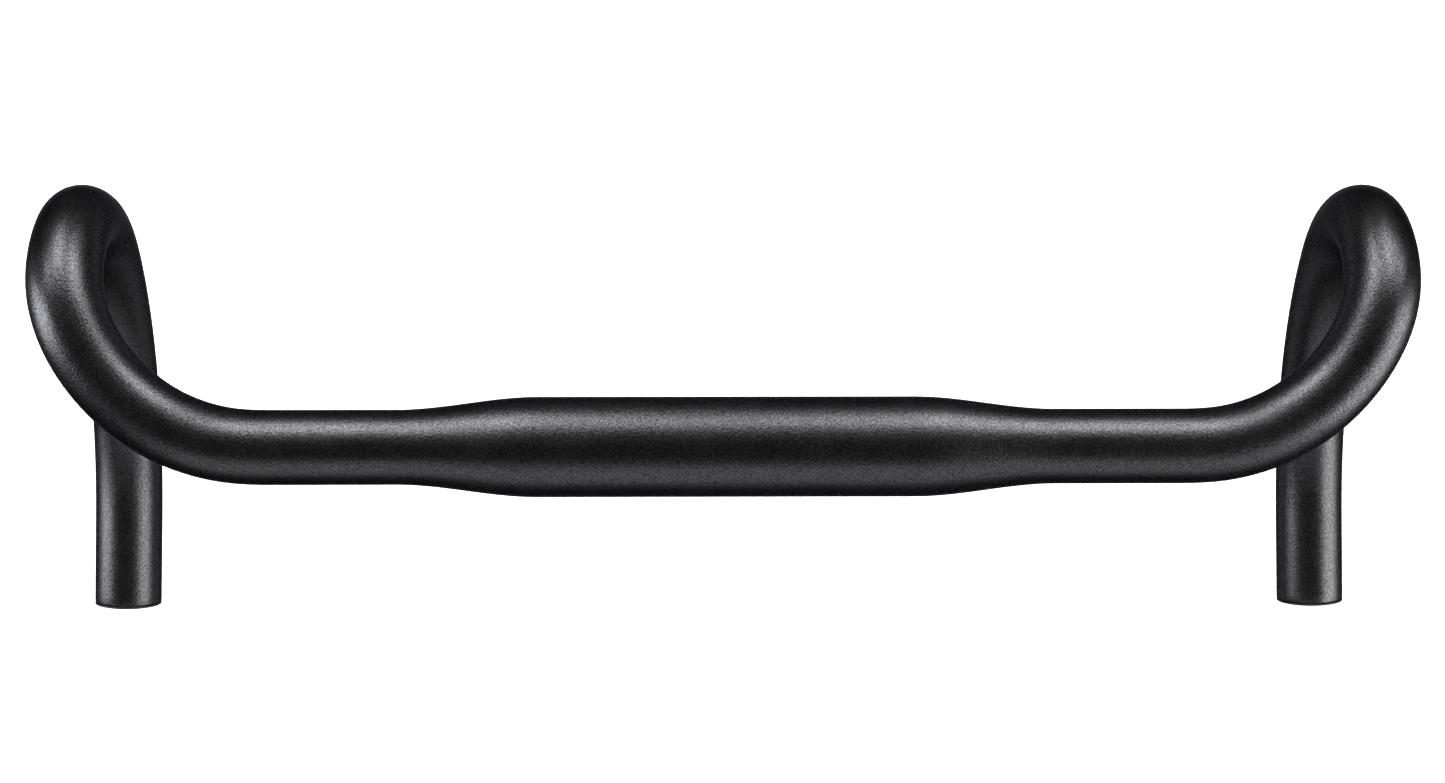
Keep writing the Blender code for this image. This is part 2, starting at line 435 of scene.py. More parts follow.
def heading(sizes, s):
    """The direction of the right half's centreline at s from the middle."""
    sweep_end = sizes.sweep_start + sizes.sweep_radius * sizes.sweep_angle
    start = sweep_end - sizes.hook_lead
    hook_start = start
    pitch = sizes.ramp_angle
    for radius, turn in zip(sizes.hook_radii, sizes.hook_angles):
        end = start + radius * turn
        pitch -= turn * eased(s, start, end, sizes.ease)
        start = end
    yaw = sizes.sweep_angle * eased(s, sizes.sweep_start, sweep_end, sizes.ease)
    yaw += sizes.flare * eased(s, hook_start, start, sizes.ease)
    return Vector((math.cos(yaw), math.sin(yaw) * math.cos(pitch), math.sin(yaw) * math.sin(pitch)))


def centreline(sizes):
    """Points a millimetre apart along the right half of the bar."""
    hook = sum(radius * turn for radius, turn in zip(sizes.hook_radii, sizes.hook_angles))
    total = sizes.sweep_start + sizes.sweep_radius * sizes.sweep_angle - sizes.hook_lead + hook
    total += sizes.end_straight
    steps = math.ceil((total - sizes.taper_end) / MM)
    step = (total - sizes.taper_end) / steps
    point = Vector((sizes.taper_end, 0.0, 0.0))
    points = [Vector(), point.copy()]
    for i in range(steps):
        point += heading(sizes, sizes.taper_end + (i + 0.5) * step) * step
        points.append(point.copy())
    return points


def tube_group():
    """Sweeps a bored wall with rounded ends along half a centreline and mirrors it."""
    lengths = (
        "Tube Radius",
        "Clamp Radius",
        "Clamp Half",
        "Taper End",
        "Wall",
        "Clamp Wall",
        "Edge Radius",
        "Station Spacing",
    )
    sockets = [(label, "NodeSocketFloat") for label in lengths]
    sockets += [("Sides", "NodeSocketInt"), ("Material", "NodeSocketMaterial")]
    group = new_group("bent_tube", sockets)
    given = add_node(group, "NodeGroupInput").outputs
    path = given["Geometry"]
    run = add_node(group, "GeometryNodeCurveLength", {"Curve": path}).outputs[0]

    # The wall's outline from the middle: out along the outside, round the end and back along the bore.
    outer_end = add_node(group, "ShaderNodeCombineXYZ", {"X": run})
    inner_end = add_node(group, "ShaderNodeCombineXYZ", {"X": run, "Y": given["Wall"]})
    inner_start = add_node(group, "ShaderNodeCombineXYZ", {"Y": given["Wall"]})
    outline = add_node(
        group,
        "GeometryNodeCurvePrimitiveQuadrilateral",
        {
            "Point 1": (0.0, 0.0, 0.0),
            "Point 2": outer_end.outputs[0],
            "Point 3": inner_end.outputs[0],
            "Point 4": inner_start.outputs[0],
        },
        mode="POINTS",
    )
    opened = add_node(
        group, "GeometryNodeSetSplineCyclic", {"Geometry": outline.outputs[0], "Cyclic": False}
    )
    rounded = add_node(
        group,
        "GeometryNodeFilletCurve",
        {"Curve": opened.outputs[0], "Count": 4, "Radius": given["Edge Radius"]},
        mode="POLY",
    )
    here = add_node(group, "GeometryNodeInputPosition").outputs[0]
    index = add_node(group, "GeometryNodeInputIndex").outputs[0]
    following = add_node(group, "ShaderNodeMath", {0: index, 1: 1.0}, operation="ADD")
    next_point = add_node(
        group,
        "GeometryNodeFieldAtIndex",
        {"Value": here, "Index": following.outputs[0]},
        data_type="FLOAT_VECTOR",
        domain="POINT",
    )
    span = add_node(group, "ShaderNodeVectorMath", {0: here, 1: next_point.outputs[0]}, operation="DISTANCE")
    cuts = add_node(
        group, "ShaderNodeMath", {0: span.outputs["Value"], 1: given["Station Spacing"]}, operation="DIVIDE"
    )
    outline_points = add_node(
        group, "GeometryNodeSubdivideCurve", {"Curve": rounded.outputs[0], "Cuts": cuts.outputs[0]}
    ).outputs[0]

    # A sheet with one row for each outline point and one column for each side.
    count = add_node(
        group, "GeometryNodeAttributeDomainSize", {"Geometry": outline_points}, component="CURVE"
    ).outputs["Point Count"]
    rows = add_node(group, "ShaderNodeMath", {0: count, 1: 1.0}, operation="SUBTRACT").outputs[0]
    columns = add_node(group, "ShaderNodeMath", {0: given["Sides"], 1: 1.0}, operation="ADD")
    sheet = add_node(
        group,
        "GeometryNodeMeshGrid",
        {"Size X": rows, "Size Y": given["Sides"], "Vertices X": count, "Vertices Y": columns.outputs[0]},
    ).outputs[0]
    cell = add_node(group, "ShaderNodeSeparateXYZ", {0: here})
    row = add_node(group, "ShaderNodeMath", {0: rows, 1: 0.5, 2: cell.outputs["X"]}, operation="MULTIPLY_ADD")
    row_number = add_node(group, "ShaderNodeMath", {0: row.outputs[0]}, operation="ROUND")
    turn = add_node(
        group, "ShaderNodeMath", {0: cell.outputs["Y"], 1: given["Sides"]}, operation="DIVIDE"
    )
    around = add_node(group, "ShaderNodeMath", {0: turn.outputs[0], 1: math.tau}, operation="MULTIPLY")

    # Where each row lies along the bar, and how deep in the wall.
    on_outline = add_node(
        group,
        "GeometryNodeSampleIndex",
        {"Geometry": outline_points, "Value": here, "Index": row_number.outputs[0]},
        data_type="FLOAT_VECTOR",
        domain="POINT",
    )
    station = add_node(group, "ShaderNodeSeparateXYZ", {0: on_outline.outputs[0]})
    along = station.outputs["X"]
    taper = {"Value": along, "From Min": given["Clamp Half"], "From Max": given["Taper End"]}
    outer = add_node(
        group,
        "ShaderNodeMapRange",
        {**taper, "To Min": given["Clamp Radius"], "To Max": given["Tube Radius"]},
        interpolation_type="SMOOTHSTEP",
    )
    wall = add_node(
        group,
        "ShaderNodeMapRange",
        {**taper, "To Min": given["Clamp Wall"], "To Max": given["Wall"]},
        interpolation_type="SMOOTHSTEP",
    )
    share = add_node(group, "ShaderNodeMath", {0: station.outputs["Y"], 1: given["Wall"]}, operation="DIVIDE")
    depth = add_node(group, "ShaderNodeMath", {0: share.outputs[0], 1: wall.outputs[0]}, operation="MULTIPLY")
    radius = add_node(
        group, "ShaderNodeMath", {0: outer.outputs[0], 1: depth.outputs[0]}, operation="SUBTRACT"
    )

    # The same row on the centreline, turned out to the radius.
    on_path = add_node(
        group,
        "GeometryNodeSampleCurve",
        {"Curves": path, "Length": along},
        mode="LENGTH",
        use_all_curves=False,
    )
    side = add_node(
        group,
        "ShaderNodeVectorMath",
        {0: on_path.outputs["Tangent"], 1: on_path.outputs["Normal"]},
        operation="CROSS_PRODUCT",
    )
    cosine = add_node(group, "ShaderNodeMath", {0: around.outputs[0]}, operation="COSINE")
    sine = add_node(group, "ShaderNodeMath", {0: around.outputs[0]}, operation="SINE")
    outward = add_node(
        group,
        "ShaderNodeVectorMath",
        {0: on_path.outputs["Normal"], "Scale": cosine.outputs[0]},
        operation="SCALE",
    )
    sideways = add_node(
        group, "ShaderNodeVectorMath", {0: side.outputs[0], "Scale": sine.outputs[0]}, operation="SCALE"
    )
    spoke = add_node(
        group, "ShaderNodeVectorMath", {0: outward.outputs[0], 1: sideways.outputs[0]}, operation="ADD"
    )
    arm = add_node(
        group, "ShaderNodeVectorMath", {0: spoke.outputs[0], "Scale": radius.outputs[0]}, operation="SCALE"
    )
    place = add_node(
        group, "ShaderNodeVectorMath", {0: on_path.outputs["Position"], 1: arm.outputs[0]}, operation="ADD"
    )
    right = add_node(group, "GeometryNodeSetPosition", {"Geometry": sheet, "Position": place.outputs[0]})
    mirror = add_node(
        group, "GeometryNodeTransform", {"Geometry": right.outputs[0], "Scale": (-1.0, 1.0, 1.0)}
    )
    left = add_node(group, "GeometryNodeFlipFaces", {"Mesh": mirror.outputs[0]})
    both = add_node(group, "GeometryNodeJoinGeometry", {0: left.outputs[0]})
    group.links.new(right.outputs[0], both.inputs[0])
    merged = add_node(
        group, "GeometryNodeMergeByDistance", {"Geometry": both.outputs[0], "Distance": 0.002 * MM}
    )
    close_group(group, merged.outputs[0], given)
    return group


def thread_group():
    """Cuts a helical thread into the outside of a turned shank that lies along Z."""
    lengths = ("Radius", "Depth", "Pitch", "From", "To")
    sockets = [(label, "NodeSocketFloat") for label in lengths] + [("Material", "NodeSocketMaterial")]
    group = new_group("cut_thread", sockets)
    given = add_node(group, "NodeGroupInput").outputs
    here = add_node(group, "GeometryNodeInputPosition").outputs[0]
    axis = add_node(group, "ShaderNodeSeparateXYZ", {0: here})
    flat = add_node(group, "ShaderNodeVectorMath", {0: here, 1: (1.0, 1.0, 0.0)}, operation="MULTIPLY")
    radius = add_node(group, "ShaderNodeVectorMath", {0: flat.outputs[0]}, operation="LENGTH")
    bearing = add_node(
        group, "ShaderNodeMath", {0: axis.outputs["Y"], 1: axis.outputs["X"]}, operation="ARCTAN2"
    )
    turns = add_node(group, "ShaderNodeMath", {0: bearing.outputs[0], 1: math.tau}, operation="DIVIDE")
    rise = add_node(group, "ShaderNodeMath", {0: axis.outputs["Z"], 1: given["Pitch"]}, operation="DIVIDE")
    phase = add_node(group, "ShaderNodeMath", {0: rise.outputs[0], 1: turns.outputs[0]}, operation="SUBTRACT")
    doubled = add_node(group, "ShaderNodeMath", {0: phase.outputs[0], 1: 2.0}, operation="MULTIPLY")
    wave = add_node(group, "ShaderNodeMath", {0: doubled.outputs[0], 1: 1.0}, operation="PINGPONG")
    cut = add_node(
        group,
        "ShaderNodeMapRange",
        {
            "Value": wave.outputs[0],
            "From Min": THREAD_CREST,
            "From Max": THREAD_ROOT,
            "To Max": given["Depth"],
        },
    )

    # The thread runs out over its last turn, and only the shank's skin moves.
    lead = add_node(group, "ShaderNodeMath", {0: given["To"], 1: given["Pitch"]}, operation="SUBTRACT")
    run_out = add_node(
        group,
        "ShaderNodeMapRange",
        {
            "Value": axis.outputs["Z"],
            "From Min": given["To"],
            "From Max": lead.outputs[0],
            "To Min": 0.0,
            "To Max": 1.0,
        },
    )
    faded = add_node(
        group, "ShaderNodeMath", {0: cut.outputs[0], 1: run_out.outputs[0]}, operation="MULTIPLY"
    )
    limit = add_node(group, "ShaderNodeMath", {0: given["Radius"], 1: SKIN_OUT}, operation="ADD")
    on_shank = add_node(
        group,
        "FunctionNodeCompare",
        {"A": radius.outputs["Value"], "B": limit.outputs[0]},
        data_type="FLOAT",
        operation="LESS_EQUAL",
    )
    past_tip = add_node(
        group,
        "FunctionNodeCompare",
        {"A": axis.outputs["Z"], "B": given["From"]},
        data_type="FLOAT",
        operation="GREATER_EQUAL",
    )
    core = add_node(group, "ShaderNodeMath", {0: given["Radius"], 1: SKIN_IN}, operation="SUBTRACT")
    outside_core = add_node(
        group,
        "FunctionNodeCompare",
        {"A": radius.outputs["Value"], "B": core.outputs[0]},
        data_type="FLOAT",
        operation="GREATER_EQUAL",
    )
    threadable = add_node(
        group,
        "FunctionNodeBooleanMath",
        {0: on_shank.outputs[0], 1: past_tip.outputs[0]},
        operation="AND",
    )
    picked = add_node(
        group,
        "FunctionNodeBooleanMath",
        {0: threadable.outputs[0], 1: outside_core.outputs[0]},
        operation="AND",
    )
    inward = add_node(group, "ShaderNodeVectorMath", {0: flat.outputs[0]}, operation="NORMALIZE")
    back = add_node(group, "ShaderNodeMath", {0: faded.outputs[0], 1: -1.0}, operation="MULTIPLY")
    offset = add_node(
        group, "ShaderNodeVectorMath", {0: inward.outputs[0], "Scale": back.outputs[0]}, operation="SCALE"
    )
    threaded = add_node(
        group,
        "GeometryNodeSetPosition",
        {"Geometry": given["Geometry"], "Selection": picked.outputs[0], "Offset": offset.outputs[0]},
    )
    close_group(group, threaded.outputs[0], given)
    return group


def ring_group():
    """Repeats a shape round the Z axis and joins it to a turned piece."""
    sockets = [("Shape", "NodeSocketObject"), ("Count", "NodeSocketInt"), ("Material", "NodeSocketMaterial")]
    group = new_group("repeat_round", sockets)
    given = add_node(group, "NodeGroupInput").outputs
    shape = add_node(group, "GeometryNodeObjectInfo", {"Object": given["Shape"]}).outputs["Geometry"]
    spots = add_node(
        group,
        "GeometryNodeMeshLine",
        {"Count": given["Count"], "Offset": (0.0, 0.0, 0.0)},
    )
    index = add_node(group, "GeometryNodeInputIndex").outputs[0]
    share = add_node(group, "ShaderNodeMath", {0: index, 1: given["Count"]}, operation="DIVIDE")
    around = add_node(group, "ShaderNodeMath", {0: share.outputs[0], 1: math.tau}, operation="MULTIPLY")
    turn = add_node(group, "ShaderNodeCombineXYZ", {"Z": around.outputs[0]})
    copies = add_node(
        group,
        "GeometryNodeInstanceOnPoints",
        {"Points": spots.outputs[0], "Instance": shape, "Rotation": turn.outputs[0]},
    )
    both = add_node(group, "GeometryNodeJoinGeometry", {0: copies.outputs[0]})
    group.links.new(given["Geometry"], both.inputs[0])
    close_group(group, both.outputs[0], given)
    return group


def scratch(name, mesh):
    """A working object that is taken away once its shape is used."""
    made = bpy.data.objects.new(name, mesh)
    bpy.context.scene.collection.objects.link(made)
    return made


def lathe(name, profile, segments=64):
    """A solid turned about Z from a closed profile of (radius, height) in metres, as a working object."""
    bm = bmesh.new()
    points = [bm.verts.new((radius, 0.0, height)) for radius, height in profile]
    edges = [bm.edges.new(pair) for pair in zip(points, points[1:])]
    if profile[0][0] > 0.0:
        edges.append(bm.edges.new((points[-1], points[0])))
    bmesh.ops.spin(
        bm,
        geom=points + edges,
        cent=(0.0, 0.0, 0.0),
        axis=(0.0, 0.0, 1.0),
        angle=math.tau,
        steps=segments,
    )
    bmesh.ops.remove_doubles(bm, verts=bm.verts, dist=1e-7)
    bmesh.ops.recalc_face_normals(bm, faces=bm.faces)
    mesh = bpy.data.meshes.new(name)
    bm.to_mesh(mesh)
    bm.free()
    return scratch(name, mesh)


def rounded(profile, radius, steps=4):
    """The profile with every corner of 30 degrees or more rounded, apart from those on the axis."""
    made = []
    total = len(profile)
    for i, corner in enumerate(profile):
        here = Vector(corner)
        before = Vector(profile[i - 1])
        after = Vector(profile[(i + 1) % total])
        first, second = before - here, after - here
        if here.x <= 0.0 or first.length < 1e-9 or second.length < 1e-9:
            made.append(corner)
            continue
        half = first.angle(second) / 2.0
        if half > math.radians(75.0):
            made.append(corner)
            continue
        reach = min(radius / math.tan(half), first.length * 0.45, second.length * 0.45)
        start = here + first.normalized() * reach
        end = here + second.normalized() * reach
        for k in range(steps + 1):
            t = k / steps
            point = start * (1.0 - t) ** 2 + here * 2.0 * t * (1.0 - t) + end * t**2
            made.append((point.x, point.y))
    return made


def block(name, size, centre):
    """A box as a working object."""
    bm = bmesh.new()
    bmesh.ops.create_cube(bm, size=1.0, matrix=Matrix.Translation(centre) @ Matrix.Diagonal((*size, 1.0)))
    mesh = bpy.data.meshes.new(name)
    bm.to_mesh(mesh)
    bm.free()
    return scratch(name, mesh)


def hex_prism(name, across_flats, low, high):
    """A six-sided prism about Z as a working object."""
    corner = across_flats / 2.0 / math.cos(math.pi / 6.0)
    bm = bmesh.new()
    bmesh.ops.create_cone(
        bm,
        cap_ends=True,
        segments=6,
        radius1=corner,
        radius2=corner,
        depth=high - low,
        matrix=Matrix.Translation((0.0, 0.0, (high + low) / 2.0)),
    )
    mesh = bpy.data.meshes.new(name)
    bm.to_mesh(mesh)
    bm.free()
    return scratch(name, mesh)


def combine(target, tool, operation):
    """Cuts, joins or trims the target with the tool, which is then removed."""
    boolean = target.modifiers.new(operation.lower(), "BOOLEAN")
    boolean.operation = operation
    boolean.solver = "EXACT"
    boolean.object = tool
    mesh = flatten(target)
    target.data = mesh
    bpy.data.objects.remove(tool)


def soften(target, width, segments=2):
    """Bevels the sharp edges of a working object."""
    bevel = target.modifiers.new("soften", "BEVEL")
    bevel.width = width
    bevel.segments = segments
    bevel.limit_method = "ANGLE"
    bevel.angle_limit = math.radians(35.0)
    bevel.harden_normals = False
    target.data = flatten(target)


def shade(mesh, degrees=35.0):
    """Smooth shading that breaks at sharp edges."""
    for polygon in mesh.polygons:
        polygon.use_smooth = True
    mesh.set_sharp_from_angle(angle=math.radians(degrees))


def finish_piece(name, mesh, finish, body, node):
    """The finished piece: named, dressed, riding on its body in place of its CAD node."""
    mesh.name = name
    mesh.materials.clear()
    mesh.materials.append(finish)
    piece = bpy.data.objects.new(name, mesh)
    bpy.context.scene.collection.objects.link(piece)
    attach(piece, body)
    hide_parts(node)
    return piece


def plug_place(side):
    """Where a plug stands: Z along the bar's end, outwards, from the middle of the tube's end face."""
    joint = JOINTS[f"{side}_screw_turn"]
    axes = Vector(joint["axis"]).normalized().to_track_quat("Z", "Y").to_matrix().to_4x4()
    return Matrix.Translation(joint["pos_m"]) @ axes


def place_pair(source, part, finish, bodies):
    """One finished piece for each end from a working object, which is then removed."""
    shade(source.data)
    for side in SIDES:
        mesh = source.data.copy()
        mesh.transform(plug_place(side))
        node = f"{side}_plug_{part}"
        finish_piece(f"{side}_{part}", mesh, finish, bodies.format(side), node)
    bpy.data.objects.remove(source)


# Operators --------------------------------------------------------------------------------------------


class DROPBAR_OT_tube(bpy.types.Operator):
    """Bend, taper and bore the tube"""

    bl_idname = "dropbar.tube"
    bl_label = "Bent tube"

    def execute(self, context):
        sizes = context.scene.dropbar_tube
        finish = once("anodised_aluminium", anodised_aluminium)
        points = centreline(sizes)
        curve = bpy.data.curves.new("centreline", "CURVE")
        curve.dimensions = "3D"
        spline = curve.splines.new("POLY")
        spline.points.add(len(points) - 1)
        for vertex, point in zip(spline.points, points):
            vertex.co = (*point, 1.0)
        holder = scratch("centreline", curve)
        values = {
            "Tube Radius": sizes.tube_diameter / 2.0,
            "Clamp Radius": sizes.clamp_diameter / 2.0,
            "Clamp Half": sizes.clamp_half,
            "Taper End": sizes.taper_end,
            "Wall": sizes.wall,
            "Clamp Wall": sizes.clamp_wall,
            "Edge Radius": sizes.edge_radius,
            "Station Spacing": STATION_SPACING,
            "Sides": sizes.sides,
            "Material": finish,
        }
        mesh = run_group(holder, tube_group(), values)
        bpy.data.objects.remove(holder)
        bm = bmesh.new()
        bm.from_mesh(mesh)
        if bm.calc_volume(signed=True) < 0.0:
            bmesh.ops.reverse_faces(bm, faces=bm.faces)
        bm.to_mesh(mesh)
        bm.free()
        finish_piece("tube", mesh, finish, "bar", "handlebar_tube")
        return {"FINISHED"}


class DROPBAR_OT_caps(bpy.types.Operator):
    """Mould the two end caps"""

    bl_idname = "dropbar.caps"
    bl_label = "End caps"

    def execute(self, context):
        sizes = context.scene.dropbar_plug
        rim = context.scene.dropbar_tube.tube_diameter / 2.0
        face = sizes.gap + sizes.flange
        head_hole = sizes.head_hole_diameter / 2.0
        spigot = sizes.spigot_diameter / 2.0
        profile = [
            (head_hole, face),
            (5.4 * MM, face),
            (5.7 * MM, face - 0.3 * MM),
            (10.3 * MM, face - 0.3 * MM),
            (10.6 * MM, face),
            (rim, face),
            (rim, sizes.gap),
            (spigot, sizes.gap),
            (spigot, -sizes.spigot_length),
            (sizes.hole_diameter / 2.0, -sizes.spigot_length),
            (sizes.hole_diameter / 2.0, -sizes.head_hole_depth),
            (head_hole, -sizes.head_hole_depth),
        ]
        cap = lathe("cap", rounded(profile, 0.22 * MM), 96)
        rib = block("rib", (4.4 * MM, 0.5 * MM, 0.5 * MM), (8.0 * MM, 0.0, face - 0.34 * MM))
        soften(rib, 0.12 * MM, 2)
        crush = block("crush_rib", (0.7 * MM, 0.7 * MM, 4.6 * MM), (spigot - 0.1 * MM, 0.0, -2.9 * MM))
        soften(crush, 0.15 * MM, 2)
        finish = once("glass_filled_nylon", glass_filled_nylon)
        group = ring_group()
        cap.data = run_group(cap, group, {"Shape": rib, "Count": CAP_RIBS, "Material": finish})
        cap.data = run_group(cap, group, {"Shape": crush, "Count": CRUSH_RIBS, "Material": finish})
        bpy.data.objects.remove(rib)
        bpy.data.objects.remove(crush)
        place_pair(cap, "cap", finish, "{}_plug")
        return {"FINISHED"}


class DROPBAR_OT_sleeves(bpy.types.Operator):
    """Mould the two split sleeves"""

    bl_idname = "dropbar.sleeves"
    bl_label = "Split sleeves"

    def execute(self, context):
        sizes = context.scene.dropbar_plug
        top = -sizes.spigot_length - sizes.gap
        low = -sizes.sleeve_length
        outer = sizes.spigot_diameter / 2.0
        profile = [(2.6 * MM, top), (outer, top)]
        for k in range(GROOVES):
            groove = top - (GROOVE_START_MM + GROOVE_PITCH_MM * k) * MM
            profile += [(outer, groove), (outer - 0.45 * MM, groove - 0.35 * MM)]
            profile += [(outer - 0.45 * MM, groove - 0.75 * MM), (outer, groove - 1.1 * MM)]
        profile += [(outer, low), (8.0 * MM, low), (4.5 * MM, -11.0 * MM), (2.6 * MM, -11.0 * MM)]
        sleeve = lathe("sleeve", rounded(profile, 0.2 * MM, 3), 72)
        for size in ((1.4 * MM, 24.0 * MM, 16.0 * MM), (24.0 * MM, 1.4 * MM, 16.0 * MM)):
            combine(sleeve, block("slot", size, (0.0, 0.0, -17.0 * MM)), "DIFFERENCE")
        finish = once("moulded_rubber", moulded_rubber)
        place_pair(sleeve, "sleeve", finish, "{}_plug")
        return {"FINISHED"}


class DROPBAR_OT_wedges(bpy.types.Operator):
    """Mould the two wedges"""

    bl_idname = "dropbar.wedges"
    bl_label = "Wedges"

    def execute(self, context):
        sizes = context.scene.dropbar_plug
        hole = sizes.hole_diameter / 2.0
        profile = [
            (hole, -14.0 * MM),
            (4.99 * MM, -14.0 * MM),
            (8.22 * MM, -26.0 * MM),
            (8.22 * MM, WEDGE_BACK),
            (hole, WEDGE_BACK),
        ]
        wedge = lathe("wedge", rounded(profile, 0.35 * MM), 72)
        top = WEDGE_BACK + sizes.nut_height + NUT_LIFT + sizes.gap
        pocket = hex_prism("pocket", sizes.nut_width + 2.0 * sizes.gap, -32.0 * MM, top)
        combine(wedge, pocket, "DIFFERENCE")
        fin = block("fin", (4.4 * MM, 0.95 * MM, 8.6 * MM), (7.2 * MM, 0.0, -24.6 * MM))
        soften(fin, 0.2 * MM, 2)
        finish = once("glass_filled_nylon", glass_filled_nylon)
        values = {"Shape": fin, "Count": WEDGE_FINS, "Material": finish}
        wedge.data = run_group(wedge, ring_group(), values)
        bpy.data.objects.remove(fin)
        place_pair(wedge, "wedge", finish, "{}_wedge")
        return {"FINISHED"}


class DROPBAR_OT_nuts(bpy.types.Operator):
    """Form the two nuts"""

    bl_idname = "dropbar.nuts"
    bl_label = "Nuts"

    def execute(self, context):
        sizes = context.scene.dropbar_plug
        top = WEDGE_BACK + sizes.nut_height + NUT_LIFT
        low = top - sizes.nut_height
        flat = sizes.nut_width / 2.0
        corner = flat / math.cos(math.pi / 6.0)
        nut = hex_prism("nut", sizes.nut_width, low, top)
        chamfer = lathe(
            "chamfer",
            [
                (0.0, top),
                (flat - 0.1 * MM, top),
                (corner + 0.1 * MM, top - 0.45 * MM),
                (corner + 0.1 * MM, low + 0.45 * MM),
                (flat - 0.1 * MM, low),
                (0.0, low),
            ],
            72,
        )
        combine(nut, chamfer, "INTERSECT")
        bore = sizes.screw_diameter / 2.0 + 0.06 * MM
        drill = lathe(
            "drill",
            [
                (0.0, top + 1.0 * MM),
                (bore + 1.3 * MM, top + 1.0 * MM),
                (bore, top - 0.3 * MM),
                (bore, low + 0.3 * MM),
                (bore + 1.3 * MM, low - 1.0 * MM),
                (0.0, low - 1.0 * MM),
            ],
            48,
        )
        combine(nut, drill, "DIFFERENCE")
        soften(nut, 0.05 * MM, 2)
        finish = once("zinc_plated_steel", zinc_plated_steel)
        place_pair(nut, "nut", finish, "{}_wedge")
        return {"FINISHED"}


class DROPBAR_OT_screws(bpy.types.Operator):
    """Form and thread the two screws"""

    bl_idname = "dropbar.screws"
    bl_label = "Screws"

    def execute(self, context):
        sizes = context.scene.dropbar_plug
        seat = sizes.gap - sizes.head_hole_depth
        top = seat + sizes.head_height
        head = sizes.head_diameter / 2.0
        shank = sizes.screw_diameter / 2.0
        tip = seat - sizes.screw_length
        low = tip + TIP_CHAMFER
        profile = [(0.0, top), (head - HEAD_CHAMFER, top), (head, top - HEAD_CHAMFER)]
        profile += [(head, seat), (shank, seat)]
        profile += [(shank, seat + (low - seat) * (k + 1) / THREAD_RINGS) for k in range(THREAD_RINGS)]
        profile += [(shank - TIP_CHAMFER, tip), (0.0, tip)]
        screw = lathe("screw", profile, 36)
        finish = once("black_oxide_steel", black_oxide_steel)
        values = {
            "Radius": shank,
            "Depth": 0.4 * MM,
            "Pitch": sizes.pitch,
            "From": low - 0.1 * MM,
            "To": seat - 5.0 * MM,
            "Material": finish,
        }
        screw.data = run_group(screw, thread_group(), values)
        socket = hex_prism("socket", 3.0 * MM, top - 2.2 * MM, top + 1.0 * MM)
        combine(screw, socket, "DIFFERENCE")
        ridge = block("ridge", (0.22 * MM, 0.3 * MM, 2.9 * MM), (head - 0.03 * MM, 0.0, top - 1.95 * MM))
        soften(ridge, 0.07 * MM, 2)
        values = {"Shape": ridge, "Count": KNURLS, "Material": finish}
        screw.data = run_group(screw, ring_group(), values)
        bpy.data.objects.remove(ridge)
        place_pair(screw, "screw", finish, "{}_screw")
        return {"FINISHED"}


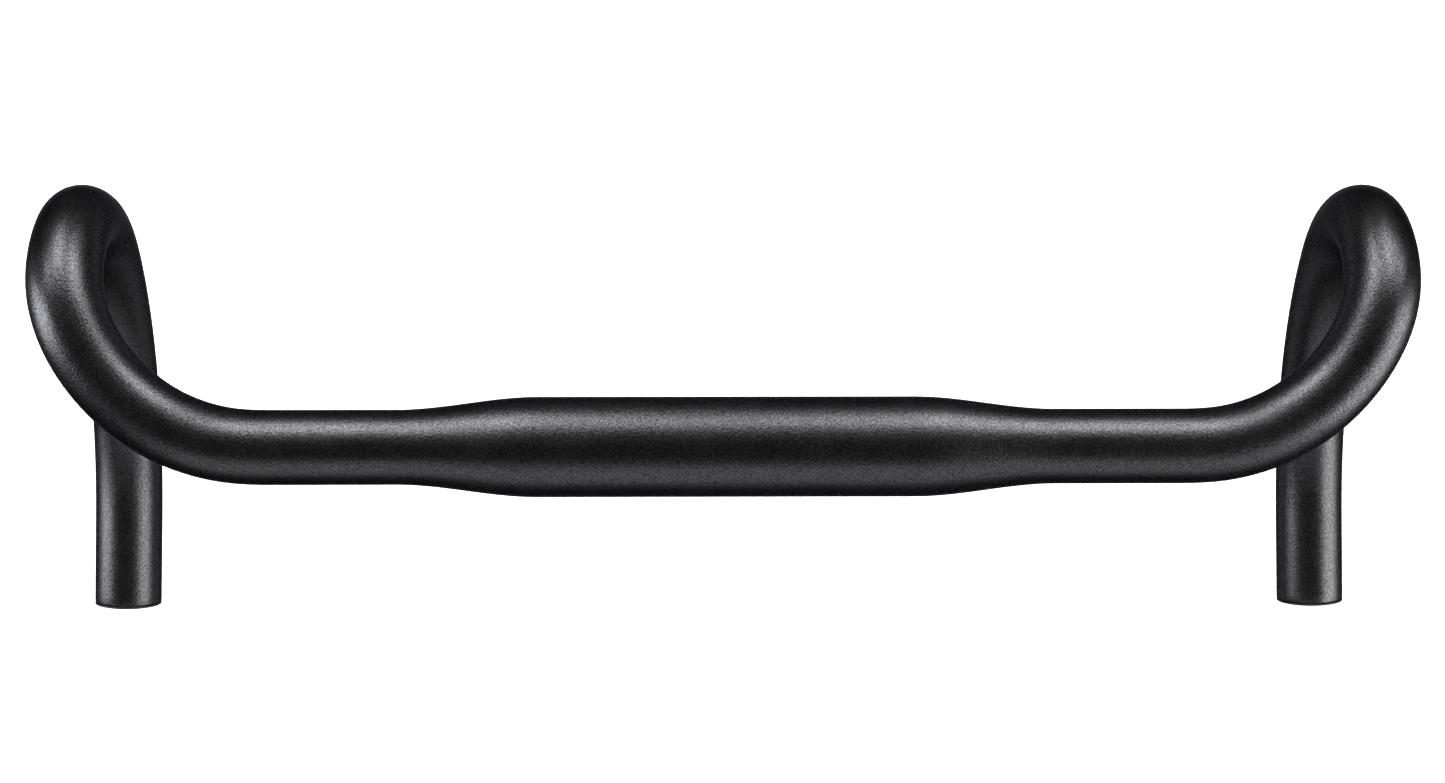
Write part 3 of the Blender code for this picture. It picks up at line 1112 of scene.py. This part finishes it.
class DROPBAR_OT_stage(bpy.types.Operator):
    """Set up the floor, backdrop, lights and camera"""

    bl_idname = "dropbar.stage"
    bl_label = "Studio"

    def execute(self, context):
        sizes = context.scene.dropbar_stage
        floor_z = CAD_BOX[0].z - sizes.floor_drop
        radius = sizes.floor_radius
        cove = 0.6
        profile = [(0.0, floor_z), (radius - cove, floor_z)]
        for k in range(1, 17):
            t = math.pi / 2.0 * k / 16
            profile.append((radius - cove + cove * math.sin(t), floor_z + cove * (1.0 - math.cos(t))))
        for k in range(1, 25):
            t = math.pi / 2.0 * k / 24
            profile.append((radius * math.cos(t), floor_z + cove + radius * math.sin(t)))
        profile[-1] = (0.0, profile[-1][1])
        backdrop = lathe("backdrop", profile, 96)
        shade(backdrop.data, 60.0)
        backdrop.data.materials.append(once("painted_board", painted_board))
        backdrop.visible_glossy = False
        backdrop.visible_diffuse = False
        backdrop.visible_shadow = False

        # Name, place, width, height, power and colour of each softbox; all face the bar.
        boxes = (
            ("front_left_box", (-0.34, 1.0, 0.5), 0.42, 0.62, 7.2, (1.0, 0.99, 0.99)),
            ("front_right_box", (0.34, 1.0, 0.5), 0.42, 0.62, 6.8, (1.0, 0.99, 0.98)),
            ("far_left_box", (-1.0, 0.95, 0.8), 0.5, 0.5, 4.2, (1.0, 0.99, 0.99)),
            ("far_right_box", (0.95, 0.95, 0.65), 0.7, 0.5, 5.2, (1.0, 0.99, 0.98)),
            ("rear_reflector", (0.1, -1.0, 0.42), 2.2, 1.0, 6.6, (1.0, 0.98, 0.99)),
            ("left_box", (-1.1, 0.0, 0.22), 0.5, 0.75, 9.2, (0.96, 0.97, 1.0)),
            ("right_box", (1.1, -0.25, 0.35), 0.85, 0.9, 13.0, (1.0, 0.98, 0.97)),
            ("floor_bounce", (0.0, 0.0, -0.6), 1.4, 1.4, 3.0, (0.97, 0.98, 1.0)),
        )
        for name, place, width, height, power, tone in boxes:
            light = bpy.data.lights.new(name, "AREA")
            light.shape = "RECTANGLE"
            light.size = width
            light.size_y = height
            light.energy = power
            light.color = tone
            lamp = bpy.data.objects.new(name, light)
            lamp.location = place
            back = Vector(place).normalized()
            lamp.rotation_mode = "QUATERNION"
            lamp.rotation_quaternion = back.to_track_quat("Z", "Y")
            lamp.visible_camera = False
            context.scene.collection.objects.link(lamp)

        world = bpy.data.worlds.new("studio")
        world.use_nodes = True
        world.node_tree.nodes["Background"].inputs["Color"].default_value = (0.9, 0.95, 1.0, 1.0)
        world.node_tree.nodes["Background"].inputs["Strength"].default_value = 0.01
        context.scene.world = world
        context.scene.view_settings.view_transform = "Standard"

        lens = bpy.data.cameras.new("camera")
        lens.sensor_width = 36.0
        lens.lens = sizes.lens
        camera = bpy.data.objects.new("camera", lens)
        camera.location = (sizes.camera_x, sizes.camera_y, sizes.camera_height)
        camera.rotation_euler = (0.0, sizes.camera_roll, sizes.camera_yaw)
        context.scene.collection.objects.link(camera)
        context.scene.camera = camera
        return {"FINISHED"}


OPERATORS = (
    DROPBAR_OT_tube,
    DROPBAR_OT_caps,
    DROPBAR_OT_sleeves,
    DROPBAR_OT_wedges,
    DROPBAR_OT_nuts,
    DROPBAR_OT_screws,
    DROPBAR_OT_stage,
)


class DROPBAR_PT_panel(bpy.types.Panel):
    """Lists the pieces of the bar"""

    bl_idname = "DROPBAR_PT_panel"
    bl_label = "Drop handlebar"
    bl_space_type = "VIEW_3D"
    bl_region_type = "UI"
    bl_category = "Drop bar"

    def draw(self, context):
        for operator in OPERATORS:
            self.layout.operator(operator.bl_idname)


GROUPS = {
    "dropbar_tube": TubeSizes,
    "dropbar_plug": PlugSizes,
    "dropbar_finishes": Finishes,
    "dropbar_stage": StageSizes,
}


def register():
    """Adds the classes and the scene's settings."""
    for cls in (*GROUPS.values(), *OPERATORS, DROPBAR_PT_panel):
        bpy.utils.register_class(cls)
    for name, cls in GROUPS.items():
        setattr(bpy.types.Scene, name, PointerProperty(type=cls))


def unregister():
    """Takes them away again."""
    for name in GROUPS:
        delattr(bpy.types.Scene, name)
    for cls in (DROPBAR_PT_panel, *reversed(OPERATORS), *reversed(tuple(GROUPS.values()))):
        bpy.utils.unregister_class(cls)


def main():
    """Builds every piece and the stage."""
    register()
    bpy.ops.dropbar.tube()
    bpy.ops.dropbar.caps()
    bpy.ops.dropbar.sleeves()
    bpy.ops.dropbar.wedges()
    bpy.ops.dropbar.nuts()
    bpy.ops.dropbar.screws()
    bpy.ops.dropbar.stage()


if __name__ == "__main__":
    main()
